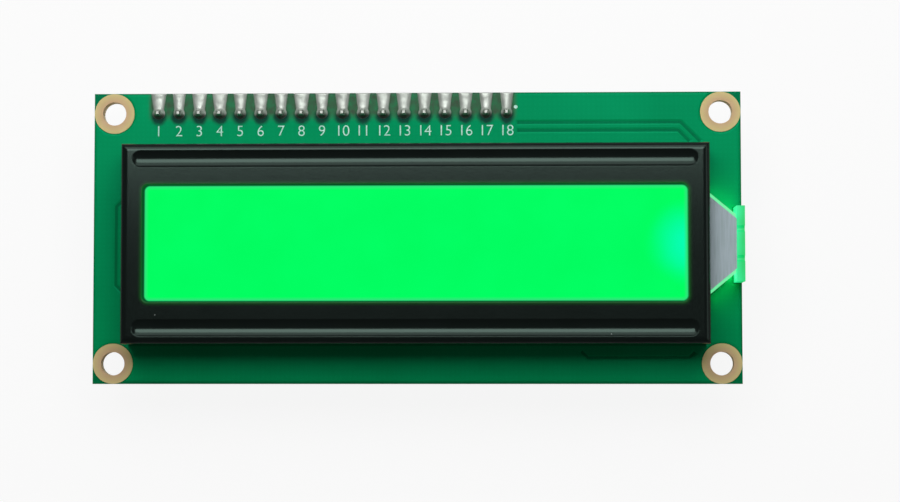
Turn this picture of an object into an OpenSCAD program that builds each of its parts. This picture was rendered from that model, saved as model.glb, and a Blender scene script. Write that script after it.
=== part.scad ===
// Character LCD module, two lines of sixteen characters, with an RGB backlight lit from one end.
// The module lies face up. The origin is the centre of the four corner holes, on the front face
// of the circuit board: X runs along the board, Y towards the row of header pins, and Z out of
// the display. Everything above the board is at z > 0, and the header's pins hang below it.

/* [Circuit board] */
// Length of the board, along X
board_l = 80; // [79:0.5:96]
// Width of the board, along Y
board_w = 36; // [34:0.5:46]
// Thickness of the board
board_t = 1.6; // [0.8:0.1:2.4]
// Diameter of the four corner holes
corner_hole_d = 2.9; // [2:0.1:3]
// Width of the plated ring round each corner hole
ring_w = 1.03; // [0.5:0.01:1.1]
// Distance of the rings from the two edges of the board beside them
ring_margin = 0.02; // [0.01:0.01:0.2]
// Thickness of the plated copper of the rings
plating_t = 0.08; // [0.04:0.01:0.2]

/* [Bezel] */
// Distance of the bezel from the two short edges of the board
end_margin = 4.35; // [3.6:0.05:8]
// Distance of the bezel from the edge of the board at the header
header_margin = 6.85; // [6.5:0.05:9]
// Distance of the bezel from the opposite edge of the board
foot_margin = 4.85; // [4.7:0.05:8]
// Height of the bezel's face above the board
bezel_h = 7; // [6:0.1:10]
// Thickness of the sheet steel
sheet_t = 0.5; // [0.3:0.05:0.7]
// Outer radius of the folds between face and walls
fold_r = 0.9; // [0.75:0.05:1.3]
// Width of the face beside the window's short edges
rim_end = 2.65; // [2.4:0.05:6]
// Width of the face beside the window's long edges, which holds the beads
rim_side = 5; // [4.6:0.05:6]
// Corner radius of the window
window_r = 0.8; // [0.2:0.1:2]
// Width of the slit at each corner, where two folded walls meet
corner_slit = 0.2; // [0.1:0.05:0.4]

/* [Beads pressed into the bezel] */
// Width of a bead at the face
bead_w = 2.1; // [1.6:0.1:2.4]
// Depth of a bead
bead_depth = 0.45; // [0.3:0.05:0.7]
// Distance of a bead's centre line from the long edge of the bezel
bead_inset = 1.9; // [1.8:0.1:2.2]
// Distance of a bead's ends from the short edges of the bezel
bead_end = 1.4; // [1:0.1:4]

/* [Twisted tabs of the bezel] */
// Number of tabs on each long wall
tabs_a_side = 4; // [2:1:5]
// Distance of the outer tabs from the ends of the bezel
tab_end = 8.5; // [6:0.5:12]
// Width of a tab's neck, where it passes through the board
neck_w = 1.3; // [1:0.1:2]
// Width of a tab's head
head_w = 2.4; // [2.1:0.1:3]
// Height of a tab's head behind the board
head_h = 1.3; // [0.8:0.1:2]
// Cut-off corners of a tab's head
head_chamfer = 0.4; // [0.1:0.05:0.6]
// Angle by which the head is twisted behind the board
tab_twist = 35; // [20:1:60]
// Room round a tab in its slot
slot_gap = 0.05; // [0.04:0.01:0.3]

/* [Display glass] */
// Thickness of each of the two glasses
glass_t = 0.7; // [0.5:0.1:1.1]
// Thickness of a polarizing film
polarizer_t = 0.2; // [0.1:0.05:0.25]
// How far the front polarizer runs past the edge of the window
polarizer_lap = 1; // [0.5:0.1:1.2]
// Room between the front glass and the walls of the bezel
glass_gap = 0.2; // [0.1:0.05:0.4]
// Room between a bead and the front glass
bead_gap = 0.05; // [0.02:0.01:0.2]
// Width of the rubber contact strips under the front glass
contact_w = 2; // [1.4:0.1:2.2]
// Distance of a contact strip's ends from the ends of the front glass
contact_end = 1.5; // [0.5:0.1:4]
// Room between a contact strip and the backlight
contact_gap = 0.3; // [0.1:0.05:0.5]

/* [Backlight] */
// Thickness of the floor of the backlight's tray
tray_floor = 0.7; // [0.5:0.1:1]
// Thickness of the walls of the tray
tray_wall = 0.8; // [0.6:0.1:1.2]
// Thickness of the reflecting film under the light guide
reflector_t = 0.15; // [0.1:0.05:0.3]
// Thickness of the diffusing film over the light guide
diffuser_t = 0.2; // [0.1:0.05:0.4]
// Room between the films or the light guide and the walls of the tray
film_gap = 0.2; // [0.1:0.05:0.4]

/* [Light inlet at the end] */
// Step on each side of the light guide, where its tongue begins
tongue_step = 1.7; // [0.5:0.05:3]
// How far each side of the tongue runs in, from the bezel to the tip
tongue_taper = 2.7; // [0.5:0.05:3]
// Width of the tongue's two horns at the tip, between which the lamp sits
horn_w = 0.95; // [0.5:0.05:1.5]
// Strip of the tongue that the light-tight tape leaves bare on each side, at the bezel
tape_bare_root = 0.45; // [0.1:0.05:1]
// The same strip at the tip
tape_bare_tip = 0.45; // [0.1:0.05:1]
// Thickness of the tape
tape_t = 0.12; // [0.05:0.01:0.3]
// Room round the tongue in the wall of the bezel
tongue_gap = 0.2; // [0.1:0.05:0.4]

/* [Lamp board] */
// How far the upright lamp board runs past each side of the tongue's tip
lamp_board_over = 1.05; // [0.8:0.05:1.5]
// Thickness of the lamp board
lamp_board_t = 1; // [0.6:0.1:1.2]
// How far the lamp board stands above the tape
lamp_board_rise = 0.1; // [0.05:0.05:0.5]
// Diameter of the two half-round notches in its upper edge
notch_d = 0.8; // [0.4:0.1:1.2]
// Distance of the notches from the ends of the lamp board
notch_end = 2.8; // [1:0.1:3.5]
// Depth of the lamp, from its board towards the tongue
lamp_depth = 0.9; // [0.6:0.1:1.2]
// Height of the lamp
lamp_h = 2.4; // [1.5:0.1:2.5]
// Room between the lamp and the tongue, and between the tongue's tip and the lamp board
lamp_gap = 0.1; // [0.05:0.05:0.3]
// Width of the four square pins of the lamp board
lamp_pin_w = 0.5; // [0.4:0.05:0.6]
// Distance of the outer lamp pins from the ends of the lamp board
lamp_pin_end = 1.6; // [0.5:0.1:2]
// How far the lamp pins reach below the board
lamp_pin_reach = 0.9; // [0.5:0.1:2]

/* [Header] */
// Number of header pins
pin_count = 18; // [8:1:24]
// Distance from one pin to the next
pin_pitch = 2.54; // [2.54:0.01:2.6]
// Distance of the first pin from the short edge of the board
first_pin = 8; // [7:0.1:12]
// Distance of the pins from the long edge of the board
pin_inset = 2.5; // [2.3:0.1:2.8]
// Width of a square pin
pin_w = 0.64; // [0.5:0.01:0.7]
// How far a pin stands out of the board's front
pin_above = 1.4; // [1:0.1:2]
// Length of a pin below its housing
pin_below = 6; // [2:0.1:12]
// Length of the tapered tip at both ends of a pin
pin_tip = 0.35; // [0.1:0.05:0.8]
// Width and height of the header's housing
housing_w = 2.5; // [2.2:0.01:2.6]
// Depth of the V-shaped notches between the housing's segments
housing_notch = 0.4; // [0.2:0.05:0.6]
// Room round a pin in its hole in the board
pin_hole_gap = 0.06; // [0.03:0.01:0.15]

/* [Solder] */
// Width of a header joint at the edge of the board
joint_edge_w = 1.8; // [1.4:0.1:2]
// Width of a header joint's crown where it meets the pin
joint_pin_w = 1.4; // [1.2:0.1:1.6]
// Height of a header joint's crown
joint_h = 0.5; // [0.3:0.05:0.65]
// Diameter of the cone of solder that climbs a header pin
cone_d = 1.8; // [1.5:0.1:2]
// How far that cone climbs
cone_climb = 1; // [0.6:0.1:1.3]
// Diameter of the solder cones round the lamp pins
lamp_joint_d = 1.6; // [1.2:0.1:1.9]
// How far the solder climbs down a lamp pin
lamp_joint_climb = 0.65; // [0.4:0.05:0.8]
// Thickness of the solder where a cone thins out on a pin's corners
solder_skin = 0.02; // [0.01:0.01:0.1]

/* [Parts on the back] */
// Diameter of the two epoxy domes over the driver chips
dome_d = 13; // [8:0.5:15]
// Height of the domes
dome_h = 1.5; // [1:0.1:2.5]
// Distance between the centres of the domes
dome_pitch = 31; // [24:0.5:40]
// Length of a chip resistor or capacitor
chip_l = 2; // [1.6:0.1:3.2]
// Width of a chip resistor or capacitor
chip_w = 1.25; // [0.8:0.05:1.6]
// Thickness of a chip resistor
resistor_t = 0.5; // [0.35:0.05:0.7]
// Thickness of a chip capacitor
capacitor_t = 0.9; // [0.6:0.05:1.25]
// Length of the metal cap at each end of a chip
cap_l = 0.4; // [0.2:0.05:0.6]
// How far the metal caps stand proud of a chip
cap_step = 0.04; // [0.02:0.01:0.1]
// Distance between chips in a row
chip_pitch = 2.6; // [2:0.1:4]
// Distance between the rows' upper ends and the row of tabs
chip_row_gap = 2.65; // [2:0.05:5]
// Distance of the lamp resistors' row from the end of the bezel
lamp_row_inset = 8; // [6:0.5:12]

/* [Hidden] */
$fn = 48;
// How far a cut runs past the surface that it leaves
over = 0.5;

SIDES = [-1, 1];
DIVIDER_COUNT = 5;      // resistors that divide the contrast voltage
LAMP_RESISTOR_COUNT = 3; // one for each colour of the lamp
LAMP_PIN_COUNT = 4;     // common, red, green and blue
RESISTOR_COUNT = DIVIDER_COUNT + LAMP_RESISTOR_COUNT;
CAPACITOR_COUNT = 2;

// Places on the board
ring_d = corner_hole_d + 2 * ring_w;
corner_inset = ring_d / 2 + ring_margin;
corner_x = board_l / 2 - corner_inset;
corner_y = board_w / 2 - corner_inset;
pin_y = board_w / 2 - pin_inset;
pin_x0 = -board_l / 2 + first_pin;
pin_hole_d = 2 * (pin_corner(pin_w) + pin_hole_gap);

// Bezel: its outline, its window and the arc of a bead's section
bezel_l = board_l - 2 * end_margin;
bezel_w = board_w - header_margin - foot_margin;
bezel_y = (foot_margin - header_margin) / 2;
bezel_end_x = bezel_l / 2;
window_l = bezel_l - 2 * rim_end;
window_w = bezel_w - 2 * rim_side;
face_under = bezel_h - sheet_t;
bead_y = bezel_w / 2 - bead_inset;
bead_r = cap_radius(bead_w, bead_depth);
bead_axis_z = bezel_h - bead_depth + bead_r;
bead_run = bezel_l - 2 * bead_end - bead_w;
tab_span = bezel_l - 2 * tab_end;
wall_mid_y = bezel_w / 2 - sheet_t / 2;

// Heights of the display's stack, from the beads down to the board
front_glass_top = face_under - bead_depth - bead_gap;
front_glass_z = front_glass_top - glass_t;
rear_glass_z = front_glass_z - glass_t;
rear_polarizer_z = rear_glass_z - polarizer_t;
diffuser_z = rear_polarizer_z - diffuser_t;
reflector_z = tray_floor;
guide_z = reflector_z + reflector_t;
guide_t = diffuser_z - guide_z;

// Plan sizes of the stack
glass_l = bezel_l - 2 * sheet_t - 2 * glass_gap;
front_glass_w = bezel_w - 2 * sheet_t - 2 * glass_gap;
tray_w = 2 * (bead_y - contact_w / 2 - contact_gap);
film_l = glass_l - 2 * tray_wall - 2 * film_gap;
film_w = tray_w - 2 * tray_wall - 2 * film_gap;

// The light inlet, from the bezel's end wall out to the lamp board at the edge of the board
lamp_board_x = board_l / 2 - lamp_board_t;
lamp_x = lamp_board_x - lamp_depth;
pocket_x = lamp_x - lamp_gap;
tongue_tip_x = lamp_board_x - lamp_gap;
tongue_root_w = film_w - 2 * tongue_step;
tongue_tip_w = tongue_root_w - 2 * tongue_taper;
pocket_w = tongue_tip_w - 2 * horn_w;
tape_root_w = tongue_root_w - 2 * tape_bare_root;
tape_tip_w = tongue_w(lamp_board_x) - 2 * tape_bare_tip;
lamp_board_l = tongue_tip_w + 2 * lamp_board_over;
lamp_l = pocket_w - 2 * lamp_gap;
lamp_pin_span = lamp_board_l - 2 * lamp_pin_end;
tape_z = guide_z + guide_t;
inlet_h = tape_z + tape_t + tongue_gap;
lamp_z = guide_z + (guide_t - lamp_h) / 2;
lamp_board_h = tape_z + tape_t + lamp_board_rise;
lamp_pin_x = lamp_board_x - lamp_pin_w / 2;
lamp_pin_hole_d = 2 * (pin_corner(lamp_pin_w) + pin_hole_gap);

// The back
housing_z = -board_t - housing_w;
chip_row_y = bezel_y + wall_mid_y - chip_row_gap - chip_l / 2;
lamp_row_x = bezel_end_x - lamp_row_inset;
dome_r = cap_radius(dome_d, dome_h);

function two_digits(i) = str(i < 10 ? "0" : "", i);
function pin_name(i) = str("pin_", two_digits(i));
function lamp_pin_name(i) = str("lamp_pin_", i);
function resistor_name(i) = str("resistor_", i);
function capacitor_name(i) = str("capacitor_", i);
function pin_x(i) = pin_x0 + (i - 1) * pin_pitch;
function lamp_pin_y(i) = bezel_y + ((i - 1) / (LAMP_PIN_COUNT - 1) - 1 / 2) * lamp_pin_span;

// Width of the tongue, and of what lies under it, where it has run out from the bezel to x
function tongue_w(x) =
    tongue_root_w - 2 * tongue_taper * (x - bezel_end_x) / (tongue_tip_x - bezel_end_x);

// Half the diagonal of a square pin of width w
function pin_corner(w) = w / sqrt(2);
// Radius of a rod whose cap is h high and w wide
function cap_radius(w, h) = (w * w / 4 + h * h) / (2 * h);

// ---- Shared shapes and places ----

module at_corners() {
    for (sx = SIDES, sy = SIDES) translate([sx * corner_x, sy * corner_y, 0]) children();
}

module at_pins() {
    for (i = [1:pin_count]) translate([pin_x(i), pin_y, 0]) children();
}

module at_lamp_pins() {
    for (i = [1:LAMP_PIN_COUNT]) translate([lamp_pin_x, lamp_pin_y(i), 0]) children();
}

// The tabs stand in line with the bezel's long walls, spread evenly between the outer two
module at_tabs() {
    for (sy = SIDES, k = [0:tabs_a_side - 1])
        translate([-tab_span / 2 + k * tab_span / (tabs_a_side - 1), bezel_y + sy * wall_mid_y, 0])
            children();
}

module drill(d) {
    translate([0, 0, -board_t - over]) cylinder(d = d, h = board_t + 2 * over);
}

// Flat plate centred on the bezel, standing on height z
module plate(l, w, t, z) {
    translate([-l / 2, bezel_y - w / 2, z]) cube([l, w, t]);
}

// Rectangle with its corners rounded by true arcs
module rounded_rectangle(l, w, r) {
    square([l - 2 * r, w], center = true);
    square([l, w - 2 * r], center = true);
    for (sx = SIDES, sy = SIDES) translate([sx * (l / 2 - r), sy * (w / 2 - r)]) circle(r);
}

// Section of a folded cover: a rectangle on the X axis with its two upper corners rounded
module arch(w, h, r) {
    translate([-w / 2, 0]) square([w, h - r]);
    translate([r - w / 2, 0]) square([w - 2 * r, h]);
    for (s = SIDES) translate([s * (w / 2 - r), h - r]) circle(r);
}

// Block whose four upper edges are rounded and meet in mitres at the corners
module folded_block(l, w, h, r) {
    intersection() {
        rotate([90, 0, 90]) linear_extrude(l, center = true) arch(w, h, r);
        rotate([90, 0, 0]) linear_extrude(w, center = true) arch(l, h, r);
    }
}

// Outline of the inlet in plan: parallel inside the bezel, then tapered from its wall to x_tip
module inlet_outline(root_w, tip_w, x_start, x_tip) {
    polygon([
        [x_start, -root_w / 2],
        [bezel_end_x, -root_w / 2],
        [x_tip, -tip_w / 2],
        [x_tip, tip_w / 2],
        [bezel_end_x, root_w / 2],
        [x_start, root_w / 2]
    ]);
}

// Cone of solder on the board that climbs a square pin of width w until it is only a skin
module solder_cone(foot_d, w, climb) {
    cylinder(d1 = foot_d, r2 = pin_corner(w) + solder_skin, h = climb);
}

// The room that a square pin of width w takes in its solder
module square_bore(w, h) {
    translate([-w / 2, -w / 2, -over]) cube([w, w, h + 2 * over]);
}

// Square bar along Z from z_low to z_high, with both ends tapered
module tapered_bar(w, z_low, z_high, tip) {
    thin = w / 4;
    side = [
        [-thin, z_low], [thin, z_low], [w / 2, z_low + tip], [w / 2, z_high - tip],
        [thin, z_high], [-thin, z_high], [-w / 2, z_high - tip], [-w / 2, z_low + tip]
    ];
    intersection() {
        rotate([90, 0, 0]) linear_extrude(w, center = true) polygon(side);
        rotate([90, 0, 90]) linear_extrude(w, center = true) polygon(side);
    }
}

// ---- Circuit board ----

module circuit_board() {
    color("seagreen") difference() {
        translate([-board_l / 2, -board_w / 2, -board_t]) cube([board_l, board_w, board_t]);
        at_corners() drill(corner_hole_d);
        at_pins() drill(pin_hole_d);
        at_lamp_pins() drill(lamp_pin_hole_d);
        at_tabs() tab_slot();
    }
}

module tab_slot() {
    l = head_w + 2 * slot_gap;
    w = sheet_t + 2 * slot_gap;
    translate([-l / 2, -w / 2, -board_t - over]) cube([l, w, board_t + 2 * over]);
}

// Plated rings on both faces of the board
module corner_rings() {
    color("goldenrod") at_corners() for (z = [0, -board_t - plating_t])
        translate([0, 0, z]) difference() {
            cylinder(d = ring_d, h = plating_t);
            translate([0, 0, -over]) cylinder(d = corner_hole_d, h = plating_t + 2 * over);
        }
}

// ---- Bezel: one stamped and folded sheet ----

module bezel() {
    color([0.1, 0.12, 0.12]) difference() {
        translate([0, bezel_y, 0]) {
            difference() {
                union() {
                    bezel_shell();
                    for (s = SIDES) translate([0, s * bead_y, 0]) bead_ridge();
                }
                for (s = SIDES) translate([0, s * bead_y, 0]) bead_form(bead_r);
                translate([0, 0, face_under - over]) linear_extrude(sheet_t + 2 * over)
                    rounded_rectangle(window_l, window_w, window_r);
                corner_slits();
            }
        }
        inlet_cut();
    }
    color([0.1, 0.12, 0.12]) at_tabs() twisted_tab();
}

module bezel_shell() {
    difference() {
        folded_block(bezel_l, bezel_w, bezel_h, fold_r);
        bezel_inside();
    }
}

// The space inside the sheet, opened downwards
module bezel_inside() {
    l = bezel_l - 2 * sheet_t;
    w = bezel_w - 2 * sheet_t;
    folded_block(l, w, face_under, fold_r - sheet_t);
    translate([-l / 2, -w / 2, -over]) cube([l, w, 2 * over]);
}

// Rod with ball ends, from which a bead's section is taken
module bead_form(r) {
    translate([0, 0, bead_axis_z]) rotate([0, 90, 0]) {
        cylinder(r = r, h = bead_run, center = true);
        for (s = SIDES) translate([0, 0, s * bead_run / 2]) sphere(r);
    }
}

// The steel that a bead pushes down below the face
module bead_ridge() {
    intersection() {
        bead_form(bead_r + sheet_t);
        translate([-bezel_l / 2, -bezel_w / 2, 0]) cube([bezel_l, bezel_w, face_under + sheet_t / 2]);
    }
}

// The short walls stop a slit's width short of the long ones
module corner_slits() {
    for (sx = SIDES, sy = SIDES)
        translate([sx * (bezel_l / 2 - sheet_t / 2), sy * (bezel_w / 2 - sheet_t - corner_slit / 2), 0])
            translate([-sheet_t / 2 - over, -corner_slit / 2, -over])
                cube([sheet_t + 2 * over, corner_slit, bezel_h - fold_r + over]);
}

// The gap in the end wall through which the tongue leaves
module inlet_cut() {
    w = tongue_root_w + 2 * tongue_gap;
    translate([bezel_end_x - sheet_t - over, bezel_y - w / 2, -over])
        cube([sheet_t + 2 * over, w, inlet_h + over]);
}

// Neck through the board, and a head twisted behind it that holds the bezel down
module twisted_tab() {
    translate([-neck_w / 2, -sheet_t / 2, -board_t]) cube([neck_w, sheet_t, board_t + sheet_t]);
    rotate([0, 0, tab_twist]) rotate([90, 0, 0]) linear_extrude(sheet_t, center = true)
        polygon([
            [-head_w / 2, -board_t],
            [-head_w / 2, head_chamfer - head_h - board_t],
            [head_chamfer - head_w / 2, -head_h - board_t],
            [head_w / 2 - head_chamfer, -head_h - board_t],
            [head_w / 2, head_chamfer - head_h - board_t],
            [head_w / 2, -board_t]
        ]);
}

// ---- Display glass and films, from the front ----

module front_polarizer() {
    color([0.3, 0.9, 0.5]) plate(window_l + 2 * polarizer_lap, window_w + 2 * polarizer_lap,
                                 polarizer_t, front_glass_top);
}

module front_glass() {
    color("lightcyan") plate(glass_l, front_glass_w, glass_t, front_glass_z);
}

module rear_glass() {
    color("lightcyan") plate(glass_l, tray_w, glass_t, rear_glass_z);
}

module rear_polarizer() {
    color([0.3, 0.9, 0.5]) plate(film_l, film_w, polarizer_t, rear_polarizer_z);
}

// Rubber strips that carry the signals from the board up to the front glass, under the beads
module contact_strip(side) {
    l = glass_l - 2 * contact_end;
    color([0.25, 0.25, 0.25]) translate([-l / 2, bezel_y + side * bead_y - contact_w / 2, 0])
        cube([l, contact_w, front_glass_z]);
}

module contact_strip_upper() { contact_strip(1); }

module contact_strip_lower() { contact_strip(-1); }

// ---- Backlight ----

module diffuser_film() {
    color("white") plate(film_l, film_w, diffuser_t, diffuser_z);
}

// Clear plate with a tongue that leaves through the end wall of the bezel. Its tip reaches the
// lamp board, with a pocket for the lamp.
module light_guide() {
    color([0, 1, 0.4]) translate([0, bezel_y, guide_z]) linear_extrude(guide_t) {
        square([film_l, film_w], center = true);
        difference() {
            inlet_outline(tongue_root_w, tongue_tip_w, 0, tongue_tip_x);
            translate([pocket_x, -pocket_w / 2]) square([lamp_depth + lamp_gap, pocket_w]);
        }
    }
}

// The film and the tray's floor run out under the tongue, and stop short of the lamp and its pins
module reflector_film() {
    color("silver") translate([0, bezel_y, reflector_z]) linear_extrude(reflector_t) {
        square([film_l, film_w], center = true);
        inlet_outline(tongue_root_w, tongue_w(pocket_x), 0, pocket_x);
    }
}

// White tray with walls all round, but for the exit of the tongue
module backlight_tray() {
    color("white") translate([0, bezel_y, 0]) {
        difference() {
            translate([-glass_l / 2, -tray_w / 2, 0]) cube([glass_l, tray_w, rear_glass_z]);
            translate([tray_wall - glass_l / 2, tray_wall - tray_w / 2, tray_floor])
                cube([glass_l - 2 * tray_wall, tray_w - 2 * tray_wall, rear_glass_z]);
            tray_exit();
        }
        linear_extrude(tray_floor) inlet_outline(tongue_root_w, tongue_w(pocket_x), 0, pocket_x);
    }
}

module tray_exit() {
    w = tongue_root_w + 2 * tongue_gap;
    translate([glass_l / 2 - tray_wall - over, -w / 2, tray_floor])
        cube([tray_wall + 2 * over, w, rear_glass_z]);
}

// Grey tape that keeps the light in the tongue and over the lamp
module light_tape() {
    color("slategray") translate([0, bezel_y, tape_z]) linear_extrude(tape_t)
        inlet_outline(tape_root_w, tape_tip_w, bezel_end_x - sheet_t, lamp_board_x);
}

// Small upright board that carries the lamp
module lamp_board() {
    color([0.2, 0.9, 0.45]) difference() {
        translate([lamp_board_x, bezel_y - lamp_board_l / 2, 0])
            cube([lamp_board_t, lamp_board_l, lamp_board_h]);
        for (s = SIDES)
            translate([lamp_board_x - over, bezel_y + s * (lamp_board_l / 2 - notch_end), lamp_board_h])
                rotate([0, 90, 0]) cylinder(d = notch_d, h = lamp_board_t + 2 * over);
    }
}

module lamp() {
    color("ivory") translate([lamp_x, bezel_y - lamp_l / 2, lamp_z])
        cube([lamp_depth, lamp_l, lamp_h]);
}

module lamp_pin(i) {
    color("silver") translate([lamp_pin_x, lamp_pin_y(i), 0])
        tapered_bar(lamp_pin_w, -board_t - lamp_pin_reach, reflector_z, pin_tip / 2);
}

module lamp_solder() {
    color("silver") at_lamp_pins() translate([0, 0, -board_t]) mirror([0, 0, 1]) difference() {
        solder_cone(lamp_joint_d, lamp_pin_w, lamp_joint_climb);
        square_bore(lamp_pin_w, lamp_joint_climb);
    }
}

// ---- Header ----

module pin(i) {
    color("gold") translate([pin_x(i), pin_y, 0])
        tapered_bar(pin_w, housing_z - pin_below, pin_above, pin_tip);
}

// Row of moulded segments, each an octagon in plan, pierced by the pins
module header_housing() {
    color([0.1, 0.1, 0.1]) translate([0, pin_y, housing_z]) linear_extrude(housing_w)
        for (i = [1:pin_count]) translate([pin_x(i), 0]) difference() {
            polygon([
                [-pin_pitch / 2, housing_notch - housing_w / 2],
                [housing_notch - pin_pitch / 2, -housing_w / 2],
                [pin_pitch / 2 - housing_notch, -housing_w / 2],
                [pin_pitch / 2, housing_notch - housing_w / 2],
                [pin_pitch / 2, housing_w / 2 - housing_notch],
                [pin_pitch / 2 - housing_notch, housing_w / 2],
                [housing_notch - pin_pitch / 2, housing_w / 2],
                [-pin_pitch / 2, housing_w / 2 - housing_notch]
            ]);
            square(pin_w, center = true);
        }
}

// Joints on the front: a long drop of solder from the board's edge to the pin, which it climbs
module header_solder() {
    color("silver") at_pins() difference() {
        union() {
            intersection() {
                joint_drop();
                translate([-joint_edge_w, -joint_edge_w, 0])
                    cube([2 * joint_edge_w, joint_edge_w + pin_inset, pin_above]);
            }
            solder_cone(cone_d, pin_w, cone_climb);
        }
        square_bore(pin_w, pin_above);
    }
}

// Sunk cone along Y with a ball at its thin end, so that only a low crown shows over the board
module joint_drop() {
    r_edge = cap_radius(joint_edge_w, joint_h);
    r_pin = cap_radius(joint_pin_w, joint_h);
    sink = joint_h - r_edge;
    translate([0, 0, sink]) {
        rotate([-90, 0, 0]) cylinder(r1 = r_pin, r2 = r_edge, h = pin_inset);
        sphere(r_pin);
    }
}

// ---- Parts on the back ----

// Epoxy dome: the cap of a large ball
module driver_dome(side) {
    color([0.06, 0.06, 0.06]) translate([side * dome_pitch / 2, bezel_y, -board_t])
        intersection() {
            translate([0, 0, dome_r - dome_h]) sphere(dome_r, $fn = 96);
            translate([-dome_d, -dome_d, -dome_h - over]) cube([2 * dome_d, 2 * dome_d, dome_h + over]);
        }
}

module driver_dome_left() { driver_dome(-1); }

module driver_dome_right() { driver_dome(1); }

// Ceramic chip with a metal cap at both ends, standing across the row
module chip(t) {
    core_w = chip_w - 2 * cap_step;
    translate([-core_w / 2, cap_l - chip_l / 2, -board_t - t + cap_step])
        cube([core_w, chip_l - 2 * cap_l, t - cap_step]);
    for (s = SIDES)
        translate([-chip_w / 2, s * (chip_l - cap_l) / 2 - cap_l / 2, -board_t - t])
            cube([chip_w, cap_l, t]);
}

// Five divider resistors between the domes, and three near the lamp for its colours
module resistor(i) {
    x_mid = i <= DIVIDER_COUNT ? 0 : lamp_row_x;
    step = i <= DIVIDER_COUNT ? i - (DIVIDER_COUNT + 1) / 2
                              : i - DIVIDER_COUNT - (LAMP_RESISTOR_COUNT + 1) / 2;
    color([0.1, 0.1, 0.1]) translate([x_mid + step * chip_pitch, chip_row_y, 0]) chip(resistor_t);
}

// Two capacitors across the middle of the board, one beside each dome
module capacitor(i) {
    color("tan") translate([(i - (CAPACITOR_COUNT + 1) / 2) * chip_pitch, bezel_y, 0]) chip(capacitor_t);
}

circuit_board();
corner_rings();
bezel();
front_polarizer();
front_glass();
rear_glass();
rear_polarizer();
diffuser_film();
light_guide();
reflector_film();
backlight_tray();
contact_strip_upper();
contact_strip_lower();
light_tape();
lamp_board();
lamp();
lamp_solder();
header_housing();
header_solder();
driver_dome_left();
driver_dome_right();
for (i = [1:pin_count]) pin(i);
for (i = [1:LAMP_PIN_COUNT]) lamp_pin(i);
for (i = [1:RESISTOR_COUNT]) resistor(i);
for (i = [1:CAPACITOR_COUNT]) capacitor(i);
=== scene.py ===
import math

import bmesh
import bpy
from mathutils import Matrix, Vector
from mathutils.geometry import delaunay_2d_cdt


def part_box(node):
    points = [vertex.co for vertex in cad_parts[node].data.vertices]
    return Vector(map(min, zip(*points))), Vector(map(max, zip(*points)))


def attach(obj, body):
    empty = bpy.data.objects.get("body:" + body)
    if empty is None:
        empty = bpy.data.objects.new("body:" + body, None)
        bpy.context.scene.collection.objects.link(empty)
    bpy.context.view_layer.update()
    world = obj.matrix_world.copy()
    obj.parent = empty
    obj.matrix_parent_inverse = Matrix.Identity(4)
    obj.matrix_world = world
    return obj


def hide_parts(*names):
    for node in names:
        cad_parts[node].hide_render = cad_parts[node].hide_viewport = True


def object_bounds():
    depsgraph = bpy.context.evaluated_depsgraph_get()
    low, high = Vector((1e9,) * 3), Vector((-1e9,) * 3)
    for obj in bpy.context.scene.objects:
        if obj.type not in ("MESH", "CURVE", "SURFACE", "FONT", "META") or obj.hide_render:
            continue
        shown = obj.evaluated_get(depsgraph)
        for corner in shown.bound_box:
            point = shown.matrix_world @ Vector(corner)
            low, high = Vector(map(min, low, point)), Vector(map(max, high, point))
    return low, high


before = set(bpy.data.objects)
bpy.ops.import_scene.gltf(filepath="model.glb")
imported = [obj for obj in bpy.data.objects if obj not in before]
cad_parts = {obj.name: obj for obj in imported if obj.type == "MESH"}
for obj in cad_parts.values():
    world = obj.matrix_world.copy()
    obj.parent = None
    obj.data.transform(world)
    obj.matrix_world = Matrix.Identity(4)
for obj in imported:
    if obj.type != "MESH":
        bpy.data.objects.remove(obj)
cad_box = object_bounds()


# ---- Circuit board ----
# A blank of glass cloth and epoxy, routed to size and drilled. Both faces carry a film of cured
# green solder mask, and the routed edges and hole walls show the bare plies of glass.
MM = 0.001
PIN_PITCH = 2.54
RING_D = 4.96
HOLE_REACH = 1.8       # all of a hole's wall is within this distance of its axis
CLOTH_PITCH = 0.6      # spacing of the threads, drawn coarser than real ones so that they show
PLY = 0.2              # thickness of one layer of glass cloth
MASK_CLOUD = 11        # breadth of the clouds in which the mask gathers
FLUX_SHADE_LINE = 0.45       # the band of baked flux and painted shade begins this far inside the row of pins
FLUX_SHADE_FADE = 0.7        # half the width over which it begins
FLUX_SHADE_BLOT = 0.9        # breadth of its blots
FLUX_SHADE_ENDS = 0.7, 1.5   # it fades out between these distances past the first and last pins
HALO = 0.85, 1.5       # a halo of painted shadow fades out between these distances from a joint's inner end
HALO_WANDER = 0.5      # and those distances wander by this
MASK_ON_LAMINATE, MASK_ON_LAMINATE_THIN = "026A3A", "037843"
MASK_SHINE = "24B49A"  # the wet-looking mask tints what little it mirrors
LAMINATE_EDGE, LAMINATE_EDGE_DARK = "3C5438", "223526"
HOLE_PLATING = "E6D6B4"
# colours of the band, baked flux darkened with painted shade between the joints, and of the halo,
# painted shadow below each joint's inner end
FLUX_AND_SHADE_BAND, SHADOW_AND_FLUX_HALO = "4A463E", "1A2C22"


def box_mm(name):
    """Lowest and highest corner of a CAD node, in millimetres."""
    low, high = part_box(name)
    return low / MM, high / MM


def centre_mm(name):
    """Middle of a CAD node's box, in millimetres."""
    return sum(box_mm(name), Vector()) / 2


def linear(colour):
    """An sRGB hex colour as linear RGBA."""
    parts = [int(colour[i:i + 2], 16) / 255 for i in (0, 2, 4)]
    return [c / 12.92 if c <= 0.04045 else ((c + 0.055) / 1.055) ** 2.4 for c in parts] + [1.0]


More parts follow.
